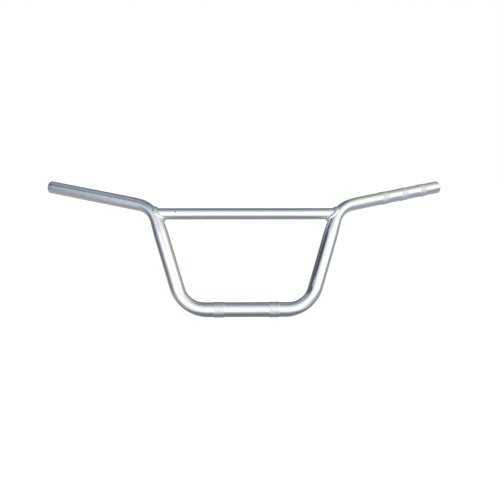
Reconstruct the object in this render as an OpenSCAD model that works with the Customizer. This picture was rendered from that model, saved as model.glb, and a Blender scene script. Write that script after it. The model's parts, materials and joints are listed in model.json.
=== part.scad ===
// Braced riser handlebar for a bicycle: one bent and drawn-down steel tube, and a welded crossbar.
// The origin is the middle of the stretch that the stem clamps. X runs across to the rider's left,
// Y to the rear and Z up. Sizes are in millimetres and angles in degrees.

/* [Bottom run] */
// Distance between the corners where the bottom run's axis would meet the axes of the legs
bottom_w = 211; // [195:1:240]
// Outer diameter of the tube along the bottom run and the legs
bar_d = 25.4; // [24.6:0.2:27]
// Wall of the main tube, all along it
bar_wall = 2; // [1.4:0.1:2.6]
// Radius of the two lower bends, at the axis of the tube
lower_bend_r = 54; // [46:1:60]
// How much the tube's radius shrinks round its four bends
bend_thin = 0.05; // [0.03:0.01:0.2]

/* [Legs] */
// Length of a leg along its axis, from corner to corner
leg_l = 188; // [160:1:230]
// Angle by which each leg flares outwards
leg_flare = 17.5; // [10:0.5:24]
// Angle by which both legs lean back
leg_lean = 28; // [15:1:36]
// Radius of the two upper bends, at the axis of the tube
upper_bend_r = 46; // [42:1:52]

/* [Grip ends] */
// Length of a grip end along its axis, from its corner to its open tip
grip_l = 214; // [195:1:260]
// Outer diameter of the tube from the upper bends to the tips
grip_d = 22.2; // [21.6:0.1:23]
// Angle by which the grip ends sweep back
grip_sweep = 22; // [14:1:32]
// Angle by which the grip ends rise towards their tips
grip_rise = 6; // [0:1:10]
// Length of the drawn-down cone that joins the two diameters, just under each upper bend
step_l = 12; // [8:1:20]
// Chamfer round each open tip
tip_chamfer = 0.6; // [0.3:0.1:1]

/* [Rolled knurls] */
// Distance from the middle of the bar to the middle of each knurl at the clamp
clamp_knurl_x = 46; // [34:1:48]
// Length along the tube of each knurl at the clamp
clamp_knurl_l = 17; // [10:1:20]
// Distance from the rider's left tip to the middle of the first grip knurl
grip_knurl_first = 38; // [20:1:50]
// Distance between the middles of two grip knurls
grip_knurl_pitch = 41; // [25:1:45]
// Length along the tube of each grip knurl
grip_knurl_l = 13; // [8:1:22]
// Number of grip knurls, all on the rider's left
grip_knurls = 3; // [1:1:3]
// Height of the knurl's crests over the tube
knurl_h = 0.5; // [0.3:0.05:0.8]
// Number of crests round each knurl
knurl_teeth = 48; // [24:2:56]

/* [Crossbar] */
// Outer diameter of the crossbar
crossbar_d = 20; // [16:0.5:21]
// Wall of the crossbar
crossbar_wall = 1.5; // [1:0.1:2.5]
// Angle round the upper bend at which the axis of the crossbar meets that of the main tube
crossbar_turn = 17.5; // [15:0.5:28]
// Diameter of the vent hole that lets plating liquid drain
vent_d = 2.5; // [1.5:0.1:4]
// Distance from the right-hand joint to the vent hole, along the crossbar
vent_from_joint = 38; // [28:1:60]
// Angle of the vent hole above the crossbar's front
vent_up = 35; // [0:5:60]

/* [Weld beads] */
// Width of each weld bead from the joint to either toe
weld_w = 4.2; // [2.4:0.2:4.6]
// Height of the ripples' crests over the straight line between the toes
weld_h = 1.1; // [0.4:0.1:1.6]
// Number of ripples round each weld bead
weld_ripples = 22; // [12:1:30]

/* [Hidden] */
$fn = 72;
plated = "silver";
bead = "gainsboro";

function unit(v) = v / norm(v);
// Angle between two directions that follow each other along the tube
function turn(from, to) = acos(from * to);
// Direction from the tube's axis to the centre of the bend between two directions
function inwards(from, to) = unit(to - (to * from) * from);
// How far before its corner a bend starts
function lead(from, to, radius) = radius * tan(turn(from, to) / 2);

// Radii of the two tubes, and the course of the left half of the main one
bar_r = bar_d / 2;
grip_r = grip_d / 2;
crossbar_r = crossbar_d / 2;
across = [1, 0, 0];
leg_dir = [sin(leg_flare), cos(leg_flare) * sin(leg_lean), cos(leg_flare) * cos(leg_lean)];
grip_dir = [cos(grip_rise) * cos(grip_sweep), cos(grip_rise) * sin(grip_sweep), sin(grip_rise)];
lower_corner = bottom_w / 2 * across;
upper_corner = lower_corner + leg_l * leg_dir;
tip = upper_corner + grip_l * grip_dir;
lower_lead = lead(across, leg_dir, lower_bend_r);
upper_lead = lead(leg_dir, grip_dir, upper_bend_r);
bottom_end = lower_corner - lower_lead * across;
leg_start = lower_corner + lower_lead * leg_dir;
leg_end = upper_corner - upper_lead * leg_dir;
grip_start = upper_corner + upper_lead * grip_dir;
leg_straight = leg_l - lower_lead - upper_lead;
grip_straight = grip_l - upper_lead;

// The upper bend: its centre, its axis, and the point on it where the crossbar is welded
bend_in = inwards(leg_dir, grip_dir);
bend_centre = leg_end + upper_bend_r * bend_in;
bend_axis = cross(leg_dir, bend_in);
joint = bend_centre + upper_bend_r * (sin(crossbar_turn) * leg_dir - cos(crossbar_turn) * bend_in);

// Reach past an open end for anything that is cut through it
past = 1;
// How far each straight stretch runs into its bends, so that they make one tube
lap = 0.5;
// Height of the knurl's valleys over the tube, so that a knurl stands on the tube all round
knurl_valley = 0.1;

// Puts a child whose axes are x, y and z at a point
module place(x, y, z, at) {
    multmatrix([[x[0], y[0], z[0], at[0]], [x[1], y[1], z[1], at[1]], [x[2], y[2], z[2], at[2]]])
        children();
}

// Stands a child that points along Z on a point, pointing in another direction
module aim(at, dir) {
    side = unit(cross([0, 1, 0], dir));
    place(side, cross(dir, side), dir, at) children();
}

// A straight stretch of round bar between two points
module run(a, b, r) {
    aim(a, unit(b - a)) cylinder(h = norm(b - a), r = r);
}

// A straight bar of changing radius, from an outline of [radius, distance along] pairs
module turned(at, dir, outline) {
    last = outline[len(outline) - 1];
    aim(at, dir) rotate_extrude() polygon(concat([[0, outline[0][1]]], outline, [[0, last[1]]]));
}

// A bent stretch of round bar that starts at a point and turns from one direction to another
module bend(at, from, to, radius, r) {
    in = inwards(from, to);
    place(-in, from, cross(from, in), at + radius * in)
        rotate_extrude(angle = turn(from, to)) translate([radius, 0]) circle(r);
}

module both_sides() {
    children();
    mirror(across) children();
}

// The main tube from a lower bend to the end of the upper one as a solid bar, inset from its skin
module leg_bar(inset) {
    bend(bottom_end, across, leg_dir, lower_bend_r, bar_r - inset - bend_thin);
    turned(leg_start, leg_dir, [[bar_r - inset, -lap], [bar_r - inset, leg_straight - step_l],
                                [grip_r - inset, leg_straight], [grip_r - inset, leg_straight + lap]]);
    bend(leg_end, leg_dir, grip_dir, upper_bend_r, grip_r - inset - bend_thin);
}

// The main tube as a solid bar with chamfered tips or, where it is inset, as the bore through them
module bar_course(inset) {
    tip_outline = inset > 0
        ? [[grip_r - inset, grip_straight + past]]
        : [[grip_r, grip_straight - tip_chamfer], [grip_r - tip_chamfer, grip_straight]];
    run(-bottom_end - lap * across, bottom_end + lap * across, bar_r - inset);
    both_sides() {
        leg_bar(inset);
        turned(grip_start, grip_dir, concat([[grip_r - inset, -lap]], tip_outline));
    }
}

// A band of straight knurl round a bar, centred on a point
module knurl(at, dir, r, length) {
    step = 180 / knurl_teeth;
    aim(at - length / 2 * dir, dir)
        linear_extrude(length)
            polygon([for (i = [0:2 * knurl_teeth - 1])
                (r + (i % 2 == 0 ? knurl_h : knurl_valley)) * [cos(step * i), sin(step * i)]]);
}

module main_bar() {
    color(plated) difference() {
        union() {
            bar_course(0);
            both_sides() knurl(clamp_knurl_x * across, across, bar_r, clamp_knurl_l);
            for (i = [0:grip_knurls - 1])
                knurl(tip - (grip_knurl_first + i * grip_knurl_pitch) * grip_dir, grip_dir, grip_r, grip_knurl_l);
        }
        bar_course(bar_wall);
    }
}

// The crossbar's ends are cut to saddles that seat on the main tube's skin
module crossbar() {
    mirrored_joint = [-joint[0], joint[1], joint[2]];
    vent_at = mirrored_joint + vent_from_joint * across;
    color(plated) difference() {
        run(mirrored_joint, joint, crossbar_r);
        run(mirrored_joint - past * across, joint + past * across, crossbar_r - crossbar_wall);
        both_sides() leg_bar(0);
        run(vent_at, vent_at + crossbar_d * [0, -cos(vent_up), sin(vent_up)], vent_d / 2);
    }
}

// Radius of the main tube beside a point, below or round the upper bend
function radius_by(p) =
    let (below = (leg_end - p) * leg_dir)
    below <= 0 ? grip_r - bend_thin : grip_r + (bar_r - grip_r) * min(1, below / step_l);
// The point on the main tube's axis beside a point
function axis_by(p) =
    let (rise = (p - leg_end) * leg_dir, q = p - bend_centre)
    rise < 0 ? leg_end + rise * leg_dir
             : bend_centre + upper_bend_r * unit(q - (q * bend_axis) * bend_axis);
// How far a point lies outside the main tube's skin, and that point moved onto the skin
function clear_of_skin(p) = norm(p - axis_by(p)) - radius_by(p);
function on_skin(p) = axis_by(p) + radius_by(p) * unit(p - axis_by(p));
// Halves the stretch of a line along X between a point outside the skin and one inside, steps times
function skin_x(outer, inner, y, z, steps) =
    let (middle = (outer + inner) / 2)
    steps == 0 ? middle
    : clear_of_skin([middle, y, z]) > 0 ? skin_x(middle, inner, y, z, steps - 1)
    : skin_x(outer, middle, y, z, steps - 1);

// Section of the weld bead at an angle round the crossbar: the root, the seat on the main tube,
// the rippled face between the toes, and the toe on the crossbar
function bead_section(a) =
    let (out = [0, cos(a), sin(a)],
         line = joint + crossbar_r * out,
         root = [skin_x(joint[0] - 2 * bar_d, joint[0], line[1], line[2], 30), line[1], line[2]],
         skin_out = unit(root - axis_by(root)),
         away = unit(out - (out * skin_out) * skin_out),
         toe_on_bar = root - weld_w * across,
         toe_on_skin = on_skin(root + weld_w * away),
         crest = weld_h * (0.55 + 0.45 * abs(cos(weld_ripples * a / 2))))
    concat([root, on_skin(root + weld_w / 2 * away), toe_on_skin],
           [for (t = [0.25, 0.5, 0.75])
               toe_on_skin + t * (toe_on_bar - toe_on_skin) + crest * 4 * t * (1 - t) * unit(out + skin_out)],
           [toe_on_bar]);

// A fillet weld round the left end of the crossbar, lofted through its sections
module weld_bead() {
    rings = 4 * weld_ripples;
    sections = [for (i = [0:rings - 1]) bead_section(360 / rings * i)];
    sides = len(sections[0]);
    faces = [for (i = [0:rings - 1], j = [0:sides - 1])
        let (here = i * sides, next = (i + 1) % rings * sides, k = (j + 1) % sides)
        each [[here + j, next + j, next + k], [here + j, next + k, here + k]]];
    polyhedron([for (section = sections) each section], faces);
}

module weld_left() {
    color(bead) weld_bead();
}

module weld_right() {
    color(bead) mirror(across) weld_bead();
}

main_bar();
crossbar();
weld_left();
weld_right();
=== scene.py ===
# %% [markdown]
# # A braced riser handlebar in bright chrome
#
# A riser handlebar is one long steel tube, bent four times: a straight bottom run that the stem clamps,
# two legs that carry the hands up and back, and two grip ends. A thinner crossbar is welded between the
# legs, and the whole bar is polished and chromed. Every form here is a tube, so every piece is a grid
# of points worked out from two parameters: how far along the tube, and how far round it.

# %% Load the fixed frame
import json
import math

import bpy
import numpy as np
from mathutils import Matrix, Vector


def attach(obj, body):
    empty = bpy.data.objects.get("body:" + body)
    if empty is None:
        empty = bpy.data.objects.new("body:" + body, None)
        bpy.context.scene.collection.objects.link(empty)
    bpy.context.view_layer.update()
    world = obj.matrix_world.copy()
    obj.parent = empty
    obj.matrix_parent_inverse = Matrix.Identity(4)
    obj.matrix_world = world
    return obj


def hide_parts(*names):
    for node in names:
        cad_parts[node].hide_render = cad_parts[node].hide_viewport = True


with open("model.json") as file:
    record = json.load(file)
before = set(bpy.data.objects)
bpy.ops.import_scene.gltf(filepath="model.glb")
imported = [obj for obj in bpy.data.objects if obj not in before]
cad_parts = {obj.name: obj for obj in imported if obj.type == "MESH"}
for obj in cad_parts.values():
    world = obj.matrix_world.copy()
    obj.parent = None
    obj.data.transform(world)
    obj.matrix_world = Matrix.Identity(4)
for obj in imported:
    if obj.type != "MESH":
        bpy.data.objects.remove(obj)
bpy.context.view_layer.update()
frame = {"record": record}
MM = 0.001

# %% [markdown]
# ## The camera
#
# The bar is seen from the front of the bicycle and a little from above. A camera is a point, three
# angles and a focal length. They could be set by eye in the viewport, but written as numbers they can
# be corrected one at a time, and the matrix that turns the camera is three perpendicular directions.
# Left and right are the rider's from here on, so +X, the rider's left, is on the right of the picture.

# %% Camera
CAMERA_AT = (-0.0163, -0.9469, 0.3629)
CAMERA_YAW, CAMERA_PITCH, CAMERA_ROLL = (math.radians(a) for a in (1.31, 15.29, 0.21))
LENS_MM = 43.2


def camera_matrix(at, yaw, pitch, roll):
    """Columns right, up and backwards, from a turn about Z, a tip down and a roll about the view."""
    forward = Vector((math.sin(yaw) * math.cos(pitch), math.cos(yaw) * math.cos(pitch), -math.sin(pitch)))
    level = Vector((math.cos(yaw), -math.sin(yaw), 0))
    right = math.cos(roll) * level + math.sin(roll) * level.cross(forward)
    up = right.cross(forward)
    return Matrix.Translation(at) @ Matrix((right, up, -forward)).transposed().to_4x4()


camera_data = bpy.data.cameras.new("camera")
camera_data.lens = LENS_MM
camera = bpy.data.objects.new("camera", camera_data)
camera.matrix_world = camera_matrix(CAMERA_AT, CAMERA_YAW, CAMERA_PITCH, CAMERA_ROLL)
bpy.context.scene.collection.objects.link(camera)
bpy.context.scene.camera = camera
print("camera", tuple(round(c, 3) for c in camera.location), "lens", LENS_MM, "mm")

# %% [markdown]
# ## The course of the main tube
#
# A bent tube is straight stretches and arcs that follow each other without a kink. Blender's curves
# could draw it, but their handles only come near to a true arc. Here the axis is a sum instead: each
# stretch adds its own vector as far as the tube has got, so a whole array of distances gives all the
# points at once. The two corners of the left half and its directions set everything, and the right half
# is its mirror image.

# %% Sizes of the main tube
mounts = {mount["name"]: mount for mount in frame["record"]["mounts"]}
grip_pin = mounts["grip_tip_left"]
BAR_R = 12.7 * MM
GRIP_R = grip_pin["dims"]["r_mm"] * MM
WALL = GRIP_R - mounts["bar_end_bore_left"]["dims"]["r_mm"] * MM
BOTTOM_W = 211 * MM
LEG_L = 188 * MM
LEG_FLARE, LEG_LEAN = math.radians(17.5), math.radians(28)
LOWER_BEND_R, UPPER_BEND_R = 54 * MM, 46 * MM
TIP_ROUND = 0.6 * MM

ACROSS = np.array([1.0, 0, 0])
MIRROR = np.array([-1.0, 1, 1])
leg_dir = np.array([math.sin(LEG_FLARE), math.cos(LEG_FLARE) * math.sin(LEG_LEAN),
                    math.cos(LEG_FLARE) * math.cos(LEG_LEAN)])
grip_dir = np.array(grip_pin["axis"])
tip = np.array(grip_pin["pos_m"]) + (grip_pin["dims"]["length_mm"] / 2 * MM + TIP_ROUND) * grip_dir


# %% Bends and their places
def unit(v):
    """A vector, or each row of an array of them, divided by its length."""
    return v / np.linalg.norm(v, axis=-1, keepdims=True)


class Bend:
    """An arc between two directions: its turn, the way to its centre, its axis, and its lead."""

    def __init__(self, before, after, radius):
        self.before, self.radius = before, radius
        self.turn = math.acos(before @ after)
        self.inwards = unit(after - (after @ before) * before)
        self.axis = np.cross(before, self.inwards)
        self.lead = radius * math.tan(self.turn / 2)

    def offset(self, angle):
        """Where the arc has got to after an angle: R sin a ahead and R (1 - cos a) inwards."""
        ahead, aside = np.sin(angle)[:, None], (1 - np.cos(angle))[:, None]
        return self.radius * (ahead * self.before + aside * self.inwards)

    def turned(self, vectors, angle):
        """Vectors v turned by each angle a about the bend's axis k.

        That is v cos a + (k x v) sin a + k (k . v)(1 - cos a)."""
        c, s = np.cos(angle)[:, None], np.sin(angle)[:, None]
        along = (vectors @ self.axis)[:, None] * self.axis
        return vectors * c + np.cross(self.axis, vectors) * s + along * (1 - c)


lower_bend = Bend(ACROSS, leg_dir, LOWER_BEND_R)
upper_bend = Bend(leg_dir, grip_dir, UPPER_BEND_R)
lower_corner = BOTTOM_W / 2 * ACROSS
upper_corner = lower_corner + LEG_L * leg_dir
GRIP_L = float(np.linalg.norm(tip - upper_corner))

# Distances along the tube from the middle of the bottom run to the ends of the bends and to the tip
S_BOTTOM = BOTTOM_W / 2 - lower_bend.lead
S_LEG = S_BOTTOM + lower_bend.radius * lower_bend.turn
S_UPPER = S_LEG + LEG_L - lower_bend.lead - upper_bend.lead
S_GRIP = S_UPPER + upper_bend.radius * upper_bend.turn
S_TIP = S_GRIP + GRIP_L - upper_bend.lead
print("bend turns", [round(math.degrees(b.turn), 2) for b in (lower_bend, upper_bend)],
      "distances along in mm", [round(s / MM, 1) for s in (S_BOTTOM, S_LEG, S_UPPER, S_GRIP, S_TIP)])


# %% The axis and a frame that follows it
def course(s):
    """Points of the axis at signed distances s, and two directions square to the axis.

    The point is the sum of how far each stretch has got. The two directions start as Y and Z and turn
    with each bend, so they never twist. On the negative side all of it is mirrored in X."""
    d = np.abs(s)
    lower = np.clip(d - S_BOTTOM, 0, S_LEG - S_BOTTOM) / lower_bend.radius
    upper = np.clip(d - S_UPPER, 0, S_GRIP - S_UPPER) / upper_bend.radius
    points = (np.minimum(d, S_BOTTOM)[:, None] * ACROSS + lower_bend.offset(lower)
              + np.clip(d - S_LEG, 0, S_UPPER - S_LEG)[:, None] * leg_dir + upper_bend.offset(upper)
              + np.maximum(d - S_GRIP, 0)[:, None] * grip_dir)
    sides = [upper_bend.turned(lower_bend.turned(np.tile(start, (len(d), 1)), lower), upper)
             for start in ((0.0, 1, 0), (0.0, 0, 1))]
    flip = np.where(s[:, None] < 0, MIRROR, 1)
    return points * flip, sides[0] * flip, sides[1] * flip


def angle_of(bend, s):
    """Angle round the tube at which the way to a bend's centre lies, in the frame of course()."""
    _, side_y, side_z = course(np.array([s]))
    return math.atan2(bend.inwards @ side_z[0], bend.inwards @ side_y[0])


LOWER_INWARDS = angle_of(lower_bend, S_BOTTOM)
UPPER_INWARDS = angle_of(upper_bend, S_UPPER)
end_point = course(np.array([S_TIP]))[0][0]
print("the course ends", round(float(np.linalg.norm(end_point - tip)) / MM, 4), "mm from the record's tip")

# %% [markdown]
# ## The tube's section
#
# A tube that is bent cold goes a little flat: it gets narrower in the plane of the bend and wider
# across it, and round the tight upper bends the stretched outer wall is drawn in. The ends were drawn
# down to grip size before bending. Five bands of straight knurl are rolled in: two for the stem's clamp
# and three under the left grip. All of this is one formula for the radius, in terms of the distance
# along and the angle round, so nothing has to be joined afterwards.

# %% Radius of the tube
LOWER_FLATTEN, LOWER_SHIFT, LOWER_REACH, LOWER_EASE = 0.09, -0.03, 0, 24 * MM
UPPER_FLATTEN, UPPER_SHIFT, UPPER_REACH, UPPER_EASE = 0.075, 0.08, 18 * MM, 36 * MM
SWELL = 0.03
TAPER_START, TAPER_END = -30 * MM, 14 * MM
CLAMP_KNURL_X, CLAMP_KNURL_L = mounts["clamp_knurl_left"]["pos_m"][0], 17 * MM
GRIP_KNURL_FIRST, GRIP_KNURL_PITCH, GRIP_KNURL_L = 38 * MM, 41 * MM, 13 * MM
GRIP_KNURLS, KNURL_TEETH = 3, 48
KNURL_CREST, KNURL_VALLEY, KNURL_RAMP = 0.5 * MM, 0.3 * MM, 0.5 * MM
TOOTH_POWER = 0.8
bands = [(-CLAMP_KNURL_X, CLAMP_KNURL_L), (CLAMP_KNURL_X, CLAMP_KNURL_L)]
bands += [(S_TIP - GRIP_KNURL_FIRST - i * GRIP_KNURL_PITCH, GRIP_KNURL_L) for i in range(GRIP_KNURLS)]
print("knurl bands centred at", [round(middle / MM, 1) for middle, _ in bands], "mm along")


def smooth(t):
    """The S-shaped step 3t^2 - 2t^3, held at 0 and 1 outside."""
    t = np.clip(t, 0, 1)
    return t * t * (3 - 2 * t)


def bend_share(d, start, end, reach, ease):
    """0 on the straights and 1 round a bend, easing in and out from a reach beyond its ends."""
    return smooth((d - start + reach) / ease) * smooth((end + reach - d) / ease)


def flattened(to_centre, flatten, shift):
    """Share of the radius lost round a bend, by the angle a from the way to its centre.

    It is mean + spread cos 2a, which flattens by one share and swells by another, less shift cos a."""
    mean, spread = (flatten - SWELL) / 2, (flatten + SWELL) / 2
    return mean + spread * np.cos(2 * to_centre) - shift * np.cos(to_centre)


def plain_radius(s, around):
    """Radius without knurls: the drawn-down radius, less what the bends flatten."""
    d = np.abs(s)
    radius = BAR_R + (GRIP_R - BAR_R) * smooth((d - S_UPPER - TAPER_START) / (TAPER_END - TAPER_START))
    lower = flattened(around - LOWER_INWARDS, LOWER_FLATTEN, LOWER_SHIFT)
    upper = flattened(around - UPPER_INWARDS, UPPER_FLATTEN, UPPER_SHIFT)
    lower_share = bend_share(d, S_BOTTOM, S_LEG, LOWER_REACH, LOWER_EASE)
    upper_share = bend_share(d, S_UPPER, S_GRIP, UPPER_REACH, UPPER_EASE)
    return radius * (1 - lower_share * lower - upper_share * upper)


def knurl_band(s):
    """1 inside a knurl band and 0 outside, with a short ramp at each end of a band."""
    inside = [np.clip((length / 2 - np.abs(s - middle)) / KNURL_RAMP + 0.5, 0, 1)
              for middle, length in bands]
    return np.sum(inside, axis=0)


def knurl_height(s, around):
    """How far a band stands over the tube: its valleys, and over them a ring of rounded teeth.

    A tooth is (1 + cos(teeth x angle)) / 2, raised to a power under 1 that makes its crest broader."""
    tooth = (0.5 + 0.5 * np.cos(KNURL_TEETH * around)) ** TOOTH_POWER
    return knurl_band(s) * (KNURL_VALLEY + (KNURL_CREST - KNURL_VALLEY) * tooth)


# %% [markdown]
# ## From a grid of points to a mesh
#
# Each piece is a grid that closes on itself both ways, like a ring: the skin runs to the open end, over
# the rounded lip, back through the bore and over the other lip. Such a grid has no poles and no seam to
# weld. Four neighbouring points make a face, and shifting the index array gives all the faces at once.
# The same grid carries a UV map, with the distance along the tube and the angle round it, so that a
# finish can follow the bends, and attributes that say where the knurls, the bore and the satin ends are,
# and where the valleys get painted shade.

# %% Grid helpers
def ring_faces(rows, columns):
    """Corner numbers of the faces of a grid that closes both ways."""
    index = np.arange(rows * columns).reshape(rows, columns)
    right, below = np.roll(index, -1, axis=1), np.roll(index, -1, axis=0)
    return np.stack([index, right, np.roll(right, -1, axis=0), below], axis=-1).reshape(-1, 4)


def signed_volume(points, faces):
    """Volume inside a closed mesh of quads: a sixth of the sum of a . (b x c) over its triangles."""
    a, b, c, d = (points[faces[:, k]] for k in range(4))
    return float(np.sum(a * (np.cross(b, c) + np.cross(c, d))) / 6)


def make_piece(name, points, faces, uv, attributes, material, node):
    """Puts points, faces, corner UVs and point attributes into a mesh object that stands for a CAD node."""
    volume = signed_volume(points, faces)
    if volume < 0:
        faces, uv = faces[:, ::-1], uv[:, ::-1]
    mesh = bpy.data.meshes.new(name)
    mesh.from_pydata(points.tolist(), [], faces.tolist())
    mesh.uv_layers.new(name="UVMap").data.foreach_set("uv", uv.reshape(-1).astype(np.float32))
    for label, values in attributes.items():
        layer = mesh.attributes.new(label, "FLOAT", "POINT")
        layer.data.foreach_set("value", values.reshape(-1).astype(np.float32))
    mesh.shade_smooth()
    mesh.materials.append(material)
    piece = bpy.data.objects.new(name, mesh)
    bpy.context.scene.collection.objects.link(piece)
    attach(piece, "root")
    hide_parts(node)
    print(name, len(faces) * 2, "triangles,", round(abs(volume) / MM ** 3, 1), "mm3")


def grid_uv(along, columns):
    """UVs of the faces' corners: the distance along in metres and the turns round from 0 to 1."""
    u = np.tile(along[:, None], (1, columns))
    v = np.tile(np.arange(columns) / columns, (len(along), 1))
    step_u, step_v = np.roll(u, -1, axis=0), v + 1 / columns
    corners = [(u, v), (u, step_v), (step_u, step_v), (step_u, v)]
    return np.stack([np.stack(pair, axis=-1) for pair in corners], axis=2).reshape(-1, 4, 2)


# %% [markdown]
# ## Shader maths
#
# A material is a network of nodes. Written as bare links it is hard to read, so this class wraps a
# socket and lets the usual signs add the Math nodes: 1 - mask * 0.5 reads as what it is.

# %% A socket with arithmetic
class Field:
    """A value that changes over a surface: one output socket of a material's node tree."""

    def __init__(self, tree, socket=None):
        self.tree, self.socket = tree, socket

    def node(self, kind, settings, inputs, output=0):
        """Adds a node: its settings or a ramp's stops, then the values or links of its sockets."""
        made = self.tree.nodes.new("ShaderNode" + kind)
        for key, value in settings.items():
            if key != "stops":
                setattr(made, key, value)
                continue
            ramp = made.color_ramp
            while len(ramp.elements) < len(value):
                ramp.elements.new(1)
            for element, (position, colour) in zip(ramp.elements, value):
                element.position, element.color = position, (*colour, 1)
        for key, value in inputs.items():
            if isinstance(value, Field):
                self.tree.links.new(value.socket, made.inputs[key])
            else:
                made.inputs[key].default_value = value
        return Field(self.tree, made.outputs[output])

    def math(self, operation, a, b=0.0):
        return self.node("Math", {"operation": operation}, {0: a, 1: b})

    def __add__(self, other):
        return self.math("ADD", self, other)

    __radd__ = __add__

    def __sub__(self, other):
        return self.math("SUBTRACT", self, other)

    def __rsub__(self, other):
        return self.math("SUBTRACT", other, self)

    def __mul__(self, other):
        return self.math("MULTIPLY", self, other)

    __rmul__ = __mul__

    def blend(self, low, high):
        """The colour low where this value is 0 and high where it is 1."""
        return self.node("Mix", {"data_type": "RGBA"}, {0: self, 6: low, 7: high}, 2)


def new_material(name):
    """A material with an empty tree, its Principled shader and a field to start expressions from."""
    material = bpy.data.materials.new(name)
    material.use_nodes = True
    tree = material.node_tree
    tree.nodes.clear()
    output = tree.nodes.new("ShaderNodeOutputMaterial")
    shader = tree.nodes.new("ShaderNodeBsdfPrincipled")
    tree.links.new(shader.outputs[0], output.inputs[0])
    return material, shader, Field(tree)


def connect(shader, name, field):
    """Feeds one named socket of a shader from a field."""
    field.tree.links.new(field.socket, shader.inputs[name])


# %% [markdown]
# ## Chrome on a tube
#
# Bright chrome has next to no colour of its own. What tells it from a perfect mirror are small things:
# the polishing belt leaves fine lines round the tube, drawing and bending leave long shallow waves that
# make reflections swim, and a thin haze makes them soft. The knurls are rolled before plating and
# never see the polishing belt, so they stay satin and pale. Each knurl valley, and each hollow between
# the weld's ripples, is darkened with painted shade. The drawn-down ends get a lighter polish than the
# middle, and the bore keeps the dull grey of bare steel.
# All of this could be painted on images. Worked out from the UV map and the attributes it stays sharp
# close up and goes with the form when a size changes.

# %% The chrome of the tubes
BELT_SCALE, WAVE_SCALE, CLOUD_SCALE, MOTTLE_SCALE = (900, 2, 1), 28.0, 9.0, 420.0
BELT_DEPTH, BELT_STRENGTH = 0.02 * MM, 0.15
TINT_LOW = 0.97
MOTTLE_LOW, MOTTLE_HIGH = 0.35, 0.6
KNURL_DARK, KNURL_PALE = (0.75, 0.75, 0.76, 1), (0.97, 0.97, 0.98, 1)
# Painted shade: the grey that darkens the knurls' valleys and the hollows between weld ripples, and its
# share
VALLEY_SHADE_GREY, VALLEY_SHADE_SHARE = (0.6, 0.6, 0.62, 1), 0.6
BORE_GREY = (0.16, 0.15, 0.14, 1)
BELT_ROUGH, CLOUD_ROUGH, GRIP_ROUGH, KNURL_ROUGH, BORE_ROUGH = 0.05, 0.03, 0.14, 0.17, 0.4


def add_chrome(name, colour, haze, wave_depth):
    """Chrome with a faint tint that wanders, painted shade in hollows, haze, belt lines round the tube and
    long waves along it.

    Roughness is the haze, and more on the grips, the knurls and in the bore. Colours mix by shares."""
    material, shader, start = new_material(name)
    uv = start.node("UVMap", {"uv_map": "UVMap"}, {})
    place = start.node("TexCoord", {}, {}, "Object")
    belt = start.node("Mapping", {}, {"Vector": uv, "Scale": BELT_SCALE})
    lines = start.node("TexNoise", {}, {"Vector": belt, "Scale": 1.0, "Detail": 3.0})
    waves = start.node("TexNoise", {}, {"Vector": place, "Scale": WAVE_SCALE, "Detail": 1.0})
    clouds = start.node("TexNoise", {}, {"Vector": place, "Scale": CLOUD_SCALE, "Detail": 3.0})
    mottle = start.node("TexNoise", {}, {"Vector": place, "Scale": MOTTLE_SCALE, "Detail": 2.0})
    knurl, valley, bore, satin = (start.node("Attribute", {"attribute_name": label}, {}, "Fac")
                                  for label in ("knurl", "valley", "bore", "satin"))
    tint = clouds.blend((*(c * TINT_LOW for c in colour), 1), (*colour, 1))
    specks = mottle.node("MapRange", {}, {0: mottle, 1: MOTTLE_LOW, 2: MOTTLE_HIGH})
    # Painted shade: the knurls' valleys and the weld's ripple hollows are darkened towards a grey
    rolled = (valley * VALLEY_SHADE_SHARE).blend(specks.blend(KNURL_DARK, KNURL_PALE), VALLEY_SHADE_GREY)
    connect(shader, "Base Color", bore.blend(knurl.blend(tint, rolled), BORE_GREY))
    rough = haze + (lines - 0.5) * BELT_ROUGH + (clouds - 0.5) * CLOUD_ROUGH
    connect(shader, "Roughness", rough + satin * GRIP_ROUGH + knurl * KNURL_ROUGH + bore * BORE_ROUGH)
    wavy = start.node("Bump", {}, {"Strength": 1.0, "Distance": wave_depth, "Height": waves})
    fine = start.node("Bump", {}, {"Strength": BELT_STRENGTH, "Distance": BELT_DEPTH, "Height": lines,
                                   "Normal": wavy})
    connect(shader, "Normal", fine)
    shader.inputs["Metallic"].default_value = 1.0
    return material


tube_chrome = add_chrome("chromed_tube", (0.86, 0.87, 0.88), haze=0.11, wave_depth=0.2 * MM)
weld_chrome = add_chrome("chromed_weld", (0.88, 0.885, 0.89), haze=0.26, wave_depth=0.3 * MM)
print("materials:", tube_chrome.name, weld_chrome.name)

# %% [markdown]
# ## The main tube
#
# The rows of the grid follow the tube. Straight stretches need few of them, bends and eased stretches
# more, and each knurl band gets a row at either side of its ramps, so that its edge stays crisp, and one
# just beyond, so that the shading of the edge doesn't spread over the plain tube. Four columns to a tooth
# make the teeth, and the same columns serve the smooth tube.

# %% Rows along the tube
COLUMNS = 4 * KNURL_TEETH
LIP_STEPS, BORE_ROWS = 5, 90
BOTTOM_STEP, STRAIGHT_STEP, BEND_STEP, BAND_STEP = 12 * MM, 10 * MM, 2.4 * MM, 3 * MM
# How far the extra row stands beyond a ramp, how near rows may come, and when two rows are one
GUARD, CLEARANCE, SAME_ROW = 0.3 * MM, 0.2 * MM, 0.001 * MM
ROW_DIGITS = 7


def stretch(start, end, step):
    """Evenly spaced distances from start to end, no more than step apart."""
    return np.linspace(start, end, max(2, math.ceil(abs(end - start) / step) + 1))


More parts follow.
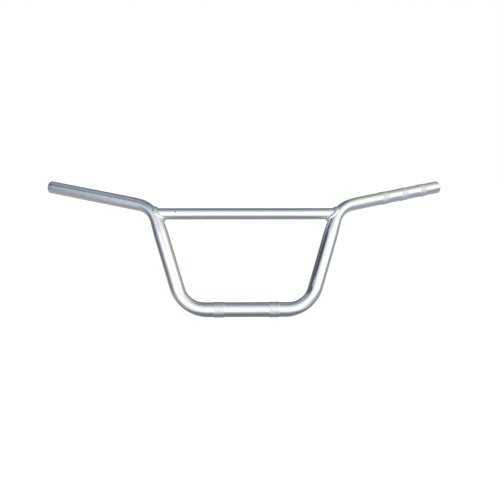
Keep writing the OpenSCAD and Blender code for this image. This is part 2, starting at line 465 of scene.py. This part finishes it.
def skin_rows():
    """Distances of the rows along the whole skin, close together where the form changes.

    A row that isn't one of a knurl band's own but comes too near to one is left out."""
    stops = [0, S_BOTTOM, S_LEG, S_UPPER + TAPER_START, S_GRIP + UPPER_REACH, S_TIP - TIP_ROUND]
    steps = [BOTTOM_STEP, BEND_STEP, STRAIGHT_STEP, BEND_STEP, STRAIGHT_STEP]
    half = np.concatenate([stretch(*part) for part in zip(stops, stops[1:], steps)])
    own = []
    for middle, length in bands:
        for side in (-1, 1):
            edge = middle + side * length / 2
            guard = edge + side * (KNURL_RAMP / 2 + GUARD)
            own += [edge - KNURL_RAMP / 2, edge + KNURL_RAMP / 2, guard]
        reach = length / 2 - KNURL_RAMP
        own += list(stretch(middle - reach, middle + reach, BAND_STEP))
    rows = np.unique(np.round(np.concatenate([half, -half, own]), ROW_DIGITS))
    apart = np.abs(rows[:, None] - np.array(own))
    return rows[np.all((apart > CLEARANCE) | (apart < SAME_ROW), axis=1)]


outer_rows = skin_rows()
print(len(outer_rows), "rows on the skin,", COLUMNS, "columns round it")


# %% The main tube's mesh
def main_bar_grid():
    """Rows of the closed grid as distances along and depths under the skin, in the order of the loop."""
    quarter = np.linspace(0, math.pi / 2, LIP_STEPS + 1)[1:]
    lip_s, lip_depth = S_TIP - TIP_ROUND * (1 - np.sin(quarter)), TIP_ROUND * (1 - np.cos(quarter))
    bevel = TIP_ROUND / 2
    inner_s = np.linspace(S_TIP - 4 * bevel, 0, BORE_ROWS)[:-1]
    bore_s = np.concatenate([[S_TIP, S_TIP - bevel], inner_s])
    bore_depth = np.full(len(bore_s), WALL)
    bore_depth[0] = WALL - bevel
    half_s, half_depth = np.concatenate([lip_s, bore_s]), np.concatenate([lip_depth, bore_depth])
    s = np.concatenate([outer_rows, half_s, [0], -half_s[::-1]])
    depth = np.concatenate([np.zeros(len(outer_rows)), half_depth, [WALL], half_depth[::-1]])
    return s, depth


row_s, row_depth = main_bar_grid()
around = np.arange(COLUMNS) * 2 * math.pi / COLUMNS
axis_points, side_y, side_z = course(row_s)
grid_s, grid_around = row_s[:, None], around[None, :]
on_skin = row_depth[:, None] == 0
radius = plain_radius(grid_s, grid_around) + on_skin * knurl_height(grid_s, grid_around)
radius = radius - row_depth[:, None]
outwards = np.cos(around)[None, :, None] * side_y[:, None] + np.sin(around)[None, :, None] * side_z[:, None]
bar_points = (axis_points[:, None] + radius[..., None] * outwards).reshape(-1, 3)
band = on_skin * knurl_band(grid_s)
past_bend = smooth((np.abs(grid_s) - S_UPPER) / (S_GRIP - S_UPPER))
# How far into a tooth's valley each point lies; the chrome paints shade there
tooth_valley_shade = 0.5 - 0.5 * np.cos(KNURL_TEETH * grid_around)
bar_attributes = {"knurl": np.broadcast_to(band, radius.shape),
                  "valley": band * tooth_valley_shade,
                  "bore": np.broadcast_to(row_depth[:, None] >= WALL, radius.shape),
                  "satin": np.broadcast_to(past_bend, radius.shape)}
make_piece("main_tube", bar_points, ring_faces(len(row_s), COLUMNS), grid_uv(row_s, COLUMNS),
           bar_attributes, tube_chrome, "main_bar")

# %% [markdown]
# ## The joint
#
# The crossbar's ends are cut to saddles that sit on the main tube, and a weld bead fills the corner all
# the way round. A boolean cut would give the saddle too, but the bead needs the seam itself. So the
# point where a line along the crossbar meets the main tube's skin is found by halving a stretch of the
# line again and again, for all the lines at once.

# %% Where lines meet the skin
JOINT_TURN = math.radians(17.5)
CROSSBAR_R, CROSSBAR_WALL = 10 * MM, 1.5 * MM
SEARCH_L, HALVINGS = 4 * BAR_R, 40
leg_end = course(np.array([S_UPPER]))[0][0]
bend_centre = leg_end + upper_bend.radius * upper_bend.inwards
joint = leg_end + upper_bend.offset(np.array([JOINT_TURN]))[0]


def beside(points):
    """The nearest point of the left leg's or upper bend's axis to each point, and the skin's radius there.

    Below the bend the axis is a line. Round it, the point is brought into the bend's plane and pushed
    out to the bend's radius. The angle round the tube follows from the way to the bend's centre."""
    rise = (points - leg_end) @ leg_dir
    from_centre = points - bend_centre
    flat = from_centre - (from_centre @ upper_bend.axis)[..., None] * upper_bend.axis
    turned = np.arctan2(flat @ leg_dir, -(flat @ upper_bend.inwards))
    straight = (rise < 0)[..., None]
    on_leg, on_bend = leg_end + rise[..., None] * leg_dir, bend_centre + upper_bend.radius * unit(flat)
    axis = np.where(straight, on_leg, on_bend)
    s = S_UPPER + np.where(rise < 0, rise, upper_bend.radius * turned)
    to_centre = np.where(straight, upper_bend.inwards, -unit(flat))
    cosine = np.sum(unit(points - axis) * to_centre, axis=-1)
    return axis, plain_radius(s, UPPER_INWARDS + np.arccos(np.clip(cosine, -1, 1)))


def clear_of_skin(points):
    """How far points lie outside the main tube's skin."""
    axis, radius = beside(points)
    return np.linalg.norm(points - axis, axis=-1) - radius


def on_tube_skin(points):
    """Points moved straight out or in to the skin."""
    axis, radius = beside(points)
    return axis + radius[..., None] * unit(points - axis)


def seam_x(y, z):
    """X at which lines along X meet the skin on the inner side of the left leg, by halving."""
    outer, inner = np.full(y.shape, joint[0] - SEARCH_L), np.full(y.shape, joint[0])
    for _ in range(HALVINGS):
        middle = (outer + inner) / 2
        clear = clear_of_skin(np.stack([middle, y, z], axis=-1)) > 0
        outer, inner = np.where(clear, middle, outer), np.where(clear, inner, middle)
    return inner


seam_test = seam_x(joint[1] + CROSSBAR_R * np.cos(around), joint[2] + CROSSBAR_R * np.sin(around))
print("the seam runs from X =", round(seam_test.min() / MM, 2), "to", round(seam_test.max() / MM, 2), "mm")

# %% [markdown]
# ## The crossbar
#
# The crossbar is a plain tube, seen best in the middle of the bar. Its only feature is a small hole
# that lets plating liquid drain. A boolean would cut it, but leaves long thin faces that shade badly, so
# the grid makes room: a square of faces is left out, and rings of points lead from the square's edge to
# the circle, through the wall and out again on the inner skin.

# %% Rows and columns of the crossbar
CROSS_COLUMNS = 144
CELL = 2 * math.pi * CROSSBAR_R / CROSS_COLUMNS
VENT_R, VENT_FROM_JOINT, VENT_UP = 1.25 * MM, 38 * MM, math.radians(35)
PATCH = 4
END_L, END_ROWS = 22 * MM, 7
CROSS_STEP = 6 * MM
LAP = 0.3 * MM
vent_x = VENT_FROM_JOINT - joint[0]
vent_around = math.pi - VENT_UP

vent_rows = vent_x + np.arange(-PATCH, PATCH + 1) * CELL
coarse_rows = stretch(END_L - joint[0], joint[0] - END_L, CROSS_STEP)
coarse_rows = coarse_rows[np.abs(coarse_rows - vent_x) > (PATCH + 2) * CELL]
middle_rows = np.sort(np.concatenate([coarse_rows, vent_rows]))
turns = vent_around + (np.arange(CROSS_COLUMNS) - PATCH) * 2 * math.pi / CROSS_COLUMNS


def tube_rows(radius):
    """Rows of a tube of a radius from the right saddle to the left one, straight in between.

    The rows near an end are shares of the way from the seam's own X to the first straight row. Each
    end stops a lap past the seam, inside the main tube's wall, so that no gap can show."""
    y, z = joint[1] + radius * np.cos(turns), joint[2] + radius * np.sin(turns)
    seam = seam_x(y, z) + LAP
    share = np.linspace(0, 1, END_ROWS)[:-1, None]
    right = -seam + share * (middle_rows[0] + seam)
    left = seam + share * (middle_rows[-1] - seam)
    x = np.concatenate([right, np.repeat(middle_rows[:, None], CROSS_COLUMNS, axis=1), left[::-1]])
    return np.stack([x, np.broadcast_to(y, x.shape), np.broadcast_to(z, x.shape)], axis=-1)


crossbar_inner_r = CROSSBAR_R - CROSSBAR_WALL
outer_skin, inner_skin = tube_rows(CROSSBAR_R), tube_rows(crossbar_inner_r)
rows_each = len(outer_skin)
print("crossbar:", rows_each, "rows on each skin")


# %% The vent hole's rings
COLLAR_SHARES = (0.5, 0.85, 1.0)
first_vent_row = END_ROWS - 1 + int(np.searchsorted(middle_rows, vent_rows[0] - CELL / 2))


def patch_edge(first_row, row_step):
    """Grid numbers of the points round a square of faces, in order round it."""
    n = 2 * PATCH
    count = np.arange(n)
    row = np.concatenate([0 * count, count, 0 * count + n, n - count])
    column = np.concatenate([count, 0 * count + n, n - count, 0 * count])
    return (first_row + row_step * row) * CROSS_COLUMNS + column


def collar(edge, radius):
    """Rings of points from a square's edge to the hole's circle, all on a skin of a radius.

    Each point is taken flat, as X and arc length from the hole's middle, moved towards the circle, and
    rolled back on to the skin."""
    flat_x = edge[:, 0] - vent_x
    flat_y = radius * (np.arctan2(edge[:, 2] - joint[2], edge[:, 1] - joint[1]) - vent_around)
    far = np.hypot(flat_x, flat_y)
    scale = (far + np.array(COLLAR_SHARES)[:, None] * (VENT_R - far)) / far
    turn = vent_around + flat_y * scale / radius
    return np.stack([vent_x + flat_x * scale, joint[1] + radius * np.cos(turn),
                     joint[2] + radius * np.sin(turn)], axis=-1)


# %% The wall of the vent hole
both_skins = np.concatenate([outer_skin, inner_skin[::-1]]).reshape(-1, 3)
outer_edge = patch_edge(first_vent_row, 1)
inner_edge = patch_edge(2 * rows_each - 1 - first_vent_row, -1)
outer_collar = collar(both_skins[outer_edge], CROSSBAR_R)
inner_collar = collar(both_skins[inner_edge], crossbar_inner_r)
collar_points = np.concatenate([outer_collar, inner_collar[::-1]]).reshape(-1, 3)
rings = len(both_skins) + np.arange(len(collar_points)).reshape(-1, len(outer_edge))
rings = np.concatenate([[outer_edge], rings, [inner_edge]])
next_ring, turned_ring = rings[1:], np.roll(rings, -1, axis=1)
collar_faces = np.stack([rings[:-1], turned_ring[:-1], turned_ring[1:], next_ring], axis=-1).reshape(-1, 4)
print("vent hole:", len(rings), "rings of", len(outer_edge), "points")

# %% The crossbar's mesh
cells = np.ones((2 * rows_each, CROSS_COLUMNS), bool)
cells[first_vent_row:first_vent_row + 2 * PATCH, :2 * PATCH] = False
first_inner_row = 2 * rows_each - 1 - first_vent_row - 2 * PATCH
cells[first_inner_row:first_inner_row + 2 * PATCH, :2 * PATCH] = False
keep = cells.reshape(-1)
crossbar_points = np.concatenate([both_skins, collar_points])
crossbar_faces = np.concatenate([ring_faces(2 * rows_each, CROSS_COLUMNS)[keep], collar_faces])
crossbar_along = np.concatenate([outer_skin[:, 0, 0], inner_skin[::-1, 0, 0]])
collar_x, collar_y, collar_z = np.moveaxis(crossbar_points[collar_faces], -1, 0)
collar_turn = (np.arctan2(collar_z - joint[2], collar_y - joint[1]) - turns[0]) / (2 * math.pi)
collar_uv = np.stack([collar_x, collar_turn], axis=-1)
crossbar_uv = np.concatenate([grid_uv(crossbar_along, CROSS_COLUMNS)[keep], collar_uv])
from_axis = np.linalg.norm(crossbar_points[:, 1:] - joint[1:], axis=1)
plain = np.zeros(len(crossbar_points))
crossbar_attributes = {"knurl": plain, "valley": plain, "satin": plain,
                       "bore": from_axis < crossbar_inner_r + CROSSBAR_WALL / 2}
make_piece("crossbar_tube", crossbar_points, crossbar_faces, crossbar_uv, crossbar_attributes,
           tube_chrome, "crossbar")

# %% [markdown]
# ## The weld beads
#
# A fillet weld is laid as a row of overlapping puddles, each a little bowed in the direction that the
# torch moved, so its face shows ripples. A texture could fake them, but chrome shows every hollow, so
# they are modelled, and the hollows between them are darkened with painted shade. A section of the bead
# runs from a toe on the main tube to a toe on the crossbar; carried round the seam, it closes on itself.

# %% Weld beads
WELD_W, WELD_H = 4.2 * MM, 1.1 * MM
WELD_RIPPLES, STEPS_PER_RIPPLE = 22, 12
RIPPLE_BOW, RIPPLE_DEPTH = 0.16, 0.3
FACE_STEPS = 12
ROOT_DEPTH = 0.5 * MM


def bead_grid():
    """Sections of the left bead all round the seam, and how deep each point lies in a ripple, which sets
    its painted shade.

    The face between the toes is the straight line plus height x 4t (1 - t) outwards. The height falls
    by a share between the ripples, as 1 - |cos|. The back lies a little under both skins."""
    count = WELD_RIPPLES * STEPS_PER_RIPPLE
    a = (np.arange(count) * 2 * math.pi / count)[:, None]
    out = np.concatenate([0 * a, np.cos(a), np.sin(a)], axis=1)
    line = joint + CROSSBAR_R * out
    root = np.stack([seam_x(line[:, 1], line[:, 2]), line[:, 1], line[:, 2]], axis=1)
    skin_out = unit(root - beside(root)[0])
    away = unit(out - np.sum(out * skin_out, axis=1, keepdims=True) * skin_out)
    bar_toe = root - WELD_W * ACROSS
    skin_toe = on_tube_skin(root + WELD_W * away)
    t = np.linspace(0, 1, FACE_STEPS + 1)[None, :]
    hump = 4 * t * (1 - t)
    ripple = np.abs(np.cos(WELD_RIPPLES / 2 * (a + RIPPLE_BOW * hump)))
    rise = WELD_H * (1 - RIPPLE_DEPTH * (1 - ripple)) * hump
    face = (skin_toe[:, None] + t[..., None] * (bar_toe - skin_toe)[:, None]
            + rise[..., None] * unit(out + skin_out)[:, None])
    under_bar = bar_toe - ROOT_DEPTH * out
    under_root = root - ROOT_DEPTH * (out + skin_out)
    under_skin = on_tube_skin(root + WELD_W / 2 * away) - ROOT_DEPTH * skin_out
    under_toe = skin_toe - ROOT_DEPTH * skin_out
    back = np.stack([under_bar, under_root, under_skin, under_toe], axis=1)
    # How deep in a ripple each point lies; the chrome paints shade there
    ripple_shade = np.concatenate([(1 - ripple) * hump, np.zeros((len(a), back.shape[1]))], axis=1)
    return np.concatenate([face, back], axis=1), ripple_shade


bead_points, bead_ripple_shade = bead_grid()
stations, sides = bead_ripple_shade.shape
bead_uv = grid_uv(np.arange(stations) * 2 * math.pi * CROSSBAR_R / stations, sides)
plain = 0 * bead_ripple_shade
bead_attributes = {"knurl": plain, "valley": bead_ripple_shade, "bore": plain, "satin": plain}
for side, flip in (("left", 1), ("right", MIRROR)):
    side_points = (bead_points * flip).reshape(-1, 3)
    make_piece("weld_bead_" + side, side_points, ring_faces(stations, sides), bead_uv,
               bead_attributes, weld_chrome, "weld_" + side)

# %% [markdown]
# ## Floor, world and lamps
#
# The set is a pale floor under a white world, which a photographer would call a sweep. A strength of 1
# is white, and more would only burn out the pale parts. So the world lights the bar at a lower level,
# and Light Path tells the camera, mirrors and glass that it is white. Two large lamps, which mirrors
# don't see, add a soft shadow.

# %% Floor
FLOOR_Z, FLOOR_HALF = -0.3, 30
WORLD_LEVEL, FLOOR_WHITE = 0.8, 0.97
CAMERA_RAY, MIRROR_RAY, GLASS_RAY = "Is Camera Ray", "Is Glossy Ray", "Is Transmission Ray"


def stage_piece(name, points, faces, material):
    """A mesh object that belongs to the set and not to the bar."""
    mesh = bpy.data.meshes.new(name)
    mesh.from_pydata(points.tolist(), [], faces.tolist())
    mesh.materials.append(material)
    piece = bpy.data.objects.new(name, mesh)
    bpy.context.scene.collection.objects.link(piece)
    return piece


def floor_material():
    """A matt pale floor that keeps the shadow, lifted to white for what the camera and mirrors see."""
    material = bpy.data.materials.new("floor")
    material.use_nodes = True
    tree = material.node_tree
    tree.nodes.clear()
    start = Field(tree)
    by_camera, by_mirror = (start.node("LightPath", {}, {}, ray) for ray in (CAMERA_RAY, MIRROR_RAY))
    matt = start.node("BsdfDiffuse", {}, {"Color": (FLOOR_WHITE, FLOOR_WHITE, FLOOR_WHITE, 1)})
    missing = 1 - WORLD_LEVEL * FLOOR_WHITE
    lift = start.node("Emission", {}, {"Strength": (by_camera + by_mirror) * missing})
    both = start.node("AddShader", {}, {0: matt, 1: lift})
    tree.links.new(both.socket, tree.nodes.new("ShaderNodeOutputMaterial").inputs[0])
    return material


def level(x0, x1, y0, y1, z):
    """Corners of a level rectangle."""
    return [(x0, y0, z), (x1, y0, z), (x1, y1, z), (x0, y1, z)]


floor_corners = np.array(level(-FLOOR_HALF, FLOOR_HALF, -FLOOR_HALF, FLOOR_HALF, FLOOR_Z))
stage_piece("floor", floor_corners, np.array([[0, 1, 2, 3]]), floor_material())
print("floor", round(-FLOOR_Z / MM), "mm under the clamp")

# %% World
world = bpy.data.worlds.new("studio")
world.use_nodes = True
bpy.context.scene.world = world
world.node_tree.nodes.clear()
sky = Field(world.node_tree)
by_camera, by_mirror, by_glass = (sky.node("LightPath", {}, {}, ray)
                                  for ray in (CAMERA_RAY, MIRROR_RAY, GLASS_RAY))
sky_level = WORLD_LEVEL + (1 - WORLD_LEVEL) * (by_camera + by_mirror + by_glass)
background = sky.node("Background", {}, {"Color": (1, 1, 1, 1), "Strength": sky_level})
world.node_tree.links.new(background.socket, world.node_tree.nodes.new("ShaderNodeOutputWorld").inputs[0])
print("world lights the bar at", WORLD_LEVEL, "and looks white")


# %% Lamps
def soft_lamp(name, at, towards, width, height, power):
    """A rectangular soft box that stands at one point, faces another and is hidden from mirrors."""
    data = bpy.data.lights.new(name, "AREA")
    data.shape, data.size, data.size_y, data.energy = "RECTANGLE", width, height, power
    lamp = bpy.data.objects.new(name, data)
    facing = (Vector(towards) - Vector(at)).to_track_quat("-Z", "Y")
    lamp.matrix_world = Matrix.Translation(at) @ facing.to_matrix().to_4x4()
    lamp.visible_glossy = False
    bpy.context.scene.collection.objects.link(lamp)
    print(name, "lamp of", power, "W,", width, "by", height, "m")


MIDDLE = (0, 0.05, 0.1)
soft_lamp("overhead", at=(0.2, -0.5, 2.2), towards=MIDDLE, width=1.8, height=1.4, power=14)
soft_lamp("side", at=(2.2, -1.2, 1.0), towards=MIDDLE, width=1.2, height=1.2, power=8)

# %% [markdown]
# ## A room for the chrome to see
#
# A mirror shows the room and not itself, so chrome is lit by choosing what it sees. Each band of light or
# dark along a tube is the reflection of one direction. A photographer gets them with cards round the bar,
# and an image of a studio on the world would do it too. Here a room of six cards stands round the bar,
# with one more beside the leg on the picture's left, and only reflections see them. The tones of each
# card are a formula of the place on it, so they can be changed one at a time. For the cards, left and
# right are the camera's.

# %% Cards that only mirrors see
CHROME_LEVEL = 0.87
CARD_STEPS = 40
DISPLAY_WHITE, DISPLAY_GAMMA = 255, 2.2

cards_material = bpy.data.materials.new("cards")
cards_material.use_nodes = True
cards_material.node_tree.nodes.clear()
card_tone = Field(cards_material.node_tree).node("Attribute", {"attribute_name": "tone"}, {}, "Color")
card_glow = card_tone.node("Emission", {}, {"Color": card_tone})
card_output = cards_material.node_tree.nodes.new("ShaderNodeOutputMaterial")
cards_material.node_tree.links.new(card_glow.socket, card_output.inputs[0])


def tone(red, green, blue):
    """The glow that chrome shows as this display colour: share ^ gamma, over what chrome reflects."""
    return tuple((part / DISPLAY_WHITE) ** DISPLAY_GAMMA / CHROME_LEVEL for part in (red, green, blue))


def ramp(x, *stops):
    """Tones that change with x, straight from each stop (x, tone) to the next."""
    places, tones = zip(*stops)
    return np.stack([np.interp(x, places, channel) for channel in zip(*tones)], axis=-1)


def between(value, start, end):
    """The share of the way from start to end, held at 0 before it and at 1 after it."""
    return np.clip((value - start) / (end - start), 0, 1)


def mix(share, low, high):
    """Tones low where share is 0 and high where it is 1."""
    return low + share[:, None] * (high - low)


def card(name, corners, shade):
    """A card that casts no shadow, lights nothing and hides from the camera.

    Its points are a grid between the four corners, and shade works out their tones from x, y and z."""
    a, b, c, d = (np.array(corner, float) for corner in corners)
    steps = np.linspace(0, 1, CARD_STEPS + 1)
    u, v = (share.reshape(-1, 1) for share in np.meshgrid(steps, steps))
    points = (1 - v) * ((1 - u) * a + u * b) + v * ((1 - u) * d + u * c)
    index = np.arange(len(points)).reshape(CARD_STEPS + 1, CARD_STEPS + 1)
    faces = np.stack([index[:-1, :-1], index[:-1, 1:], index[1:, 1:], index[1:, :-1]], axis=-1)
    made = stage_piece(name, points, faces.reshape(-1, 4), cards_material)
    tones = np.concatenate([shade(*points.T), np.ones((len(points), 1))], axis=1)
    layer = made.data.attributes.new("tone", "FLOAT_COLOR", "POINT")
    layer.data.foreach_set("color", tones.reshape(-1).astype(np.float32))
    made.visible_camera = made.visible_diffuse = made.visible_shadow = made.visible_transmission = False
    print(name, "glows from", tones[:, :3].min().round(2), "to", tones[:, :3].max().round(2))


def upright(x0, y0, x1, y1, low, high):
    """Corners of an upright card over a line on the floor."""
    return [(x0, y0, low), (x1, y1, low), (x1, y1, high), (x0, y0, high)]


# %% The tones of the floor
# Bright enough that chrome still shows it as white
WHITE = (1.25, 1.25, 1.25)
PINCH_FROM, PINCH_MOST = 0.2, 0.25
PINCH, PINCH_Y = 5, 0.26


def floor_tone(x, y, z):
    """Slate in front of the bar, paler with distance and to the sides, and sand behind it.

    To the sides, y is stretched about one place by 1 + pinch x distance, which draws the bands in."""
    aside = np.clip(np.abs(x) - PINCH_FROM, 0, PINCH_MOST)
    pinched = PINCH_Y + (y - PINCH_Y) * (1 + PINCH * aside)
    middle = ramp(pinched, (-1.9, tone(238, 241, 243)), (-1.2, tone(220, 226, 231)),
                  (-0.73, tone(186, 198, 209)), (-0.5, tone(150, 165, 177)), (-0.36, tone(122, 136, 147)),
                  (-0.25, tone(110, 120, 127)), (-0.1, tone(110, 115, 116)), (0.05, tone(132, 131, 125)),
                  (0.18, tone(154, 150, 141)), (0.5, tone(182, 178, 168)))
    left = ramp(y, (-1.9, WHITE), (-0.6, tone(200, 208, 216)), (-0.3, tone(146, 153, 166)),
                (-0.15, tone(140, 144, 154)), (0.05, tone(150, 151, 152)), (0.15, tone(162, 159, 153)),
                (0.4, tone(170, 166, 156)))
    right = ramp(y, (-1.9, WHITE), (-0.6, tone(200, 208, 216)), (-0.3, tone(140, 153, 168)),
                 (0.1, tone(146, 152, 156)), (0.4, tone(170, 169, 162)))
    outside = np.where((x < 0)[:, None], left, right)
    return mix(between(np.abs(x), 0.42, 0.62), middle, outside)


# %% The tones of the walls and the ceiling
def left_tone(x, y, z):
    """Charcoal low down beside the bar and high up at the back, and blue grey to white in front."""
    low = ramp(y, (-1.6, WHITE), (-1.3, tone(230, 235, 240)), (-1.0, tone(192, 198, 208)),
               (-0.74, tone(160, 165, 177)), (-0.45, tone(136, 138, 150)), (-0.19, tone(115, 116, 124)),
               (0.05, tone(102, 102, 108)), (0.42, tone(116, 114, 110)), (1.5, tone(128, 124, 116)))
    high = ramp(y, (-1.6, WHITE), (-1.0, tone(190, 203, 215)), (-0.7, tone(168, 183, 198)),
                (-0.45, tone(166, 182, 197)), (-0.3, tone(126, 136, 148)), (-0.05, tone(72, 70, 79)),
                (0.7, tone(62, 60, 66)), (1.2, tone(72, 68, 64)), (1.5, tone(96, 90, 80)))
    return mix(between(z, 0.35, 0.65), low, high)


def right_tone(x, y, z):
    """Slate blue at the floor, silver above it, and warm grey high up and to the back."""
    foot = ramp(y, (-1.0, tone(170, 182, 194)), (-0.5, tone(136, 147, 160)), (0.2, tone(140, 149, 157)))
    low = ramp(y, (-0.5, WHITE), (-0.3, tone(230, 236, 240)), (-0.18, tone(198, 206, 211)),
               (0.06, tone(174, 182, 187)), (0.3, tone(160, 164, 164)), (0.6, tone(160, 157, 150)))
    high = ramp(y, (-0.2, WHITE), (0.05, tone(222, 221, 213)), (0.34, tone(188, 183, 173)),
                (0.8, tone(166, 159, 147)), (1.2, tone(162, 155, 143)))
    return mix(between(z, 0, 0.25), foot, mix(between(z, 0.3, 0.7), low, high))


def top_tone(x, y, z):
    """From white in front through blue grey to slate behind, and darker to the left."""
    middle = ramp(y, (-2.0, tone(249, 250, 251)), (-1.7, tone(239, 242, 244)), (-1.1, tone(214, 222, 228)),
                  (-0.66, tone(194, 204, 211)), (-0.4, tone(176, 187, 195)), (-0.17, tone(158, 170, 179)),
                  (0.08, tone(140, 152, 162)), (0.3, tone(124, 136, 145)), (0.84, tone(110, 120, 127)),
                  (1.4, tone(106, 114, 118)))
    right = ramp(y, (-0.9, WHITE), (-0.4, tone(240, 240, 236)), (0.1, tone(214, 213, 205)),
                 (0.6, tone(186, 184, 175)), (1.5, tone(142, 142, 134)))
    left = ramp(y, (-1.9, tone(210, 213, 220)), (-1.5, tone(192, 196, 206)), (-1.0, tone(184, 190, 200)),
                (-0.6, tone(146, 152, 163)), (-0.2, tone(126, 133, 144)), (0.15, tone(138, 148, 160)),
                (0.4, tone(160, 169, 179)), (0.7, tone(156, 165, 175)), (1.1, tone(130, 139, 149)),
                (1.5, tone(136, 144, 152)))
    to_left = np.interp(-x, (0.35, 0.7, 0.85, 1.1), (0, 0.6, 0.8, 1))
    return mix(to_left, mix(between(x, 0.3, 1.0), middle, right), left)


def back_tone(x, y, z):
    """Slate, lighter and warmer to the right, and sand just over the floor."""
    wall = ramp(x, (-0.6, tone(110, 120, 129)), (0.0, tone(102, 112, 117)), (0.6, tone(132, 133, 127)),
                (1.2, tone(166, 159, 148)))
    return mix(between(z, -0.1, 0.2), np.array(tone(165, 162, 150)), wall)


def near_tone(x, y, z):
    """Charcoal, paler to the front."""
    return ramp(y, (-0.56, tone(136, 140, 150)), (-0.44, tone(84, 86, 96)), (-0.3, tone(60, 60, 68)))


def even(colour):
    """A shade that is one tone everywhere."""
    return lambda x, y, z: np.tile(colour, (len(x), 1))


# %% The room
ROOM_X, ROOM_FRONT, ROOM_BACK, ROOM_TOP = 1.5, -2.0, 1.5, 1.9
ON_FLOOR = FLOOR_Z + 0.01
card("card_floor", level(-ROOM_X, ROOM_X, ROOM_FRONT, ROOM_BACK, ON_FLOOR), floor_tone)
card("card_left", upright(-ROOM_X, ROOM_FRONT, -ROOM_X, ROOM_BACK, ON_FLOOR, ROOM_TOP), left_tone)
card("card_right", upright(ROOM_X, ROOM_FRONT, ROOM_X, ROOM_BACK, ON_FLOOR, ROOM_TOP), right_tone)
card("card_top", level(-ROOM_X, ROOM_X, ROOM_FRONT, ROOM_BACK, ROOM_TOP), top_tone)
card("card_back", upright(-ROOM_X, ROOM_BACK, ROOM_X, ROOM_BACK, ON_FLOOR, ROOM_TOP), back_tone)
card("card_front", upright(-ROOM_X, ROOM_FRONT, ROOM_X, ROOM_FRONT, ON_FLOOR, ROOM_TOP), even(WHITE))
NEAR_X = -0.6
near_corners = [(NEAR_X, y, z) for y, z in ((-0.56, 0.87), (-0.1, 0.6), (-0.1, 0.86), (-0.56, 1.2))]
card("card_near", near_corners, near_tone)

# %% [markdown]
# ## Finishing
#
# The dressed part stands for the solids, so it has to keep their size. The colours are shown with the
# Standard view transform.

# %% The view transform
bpy.context.scene.view_settings.view_transform = "Standard"
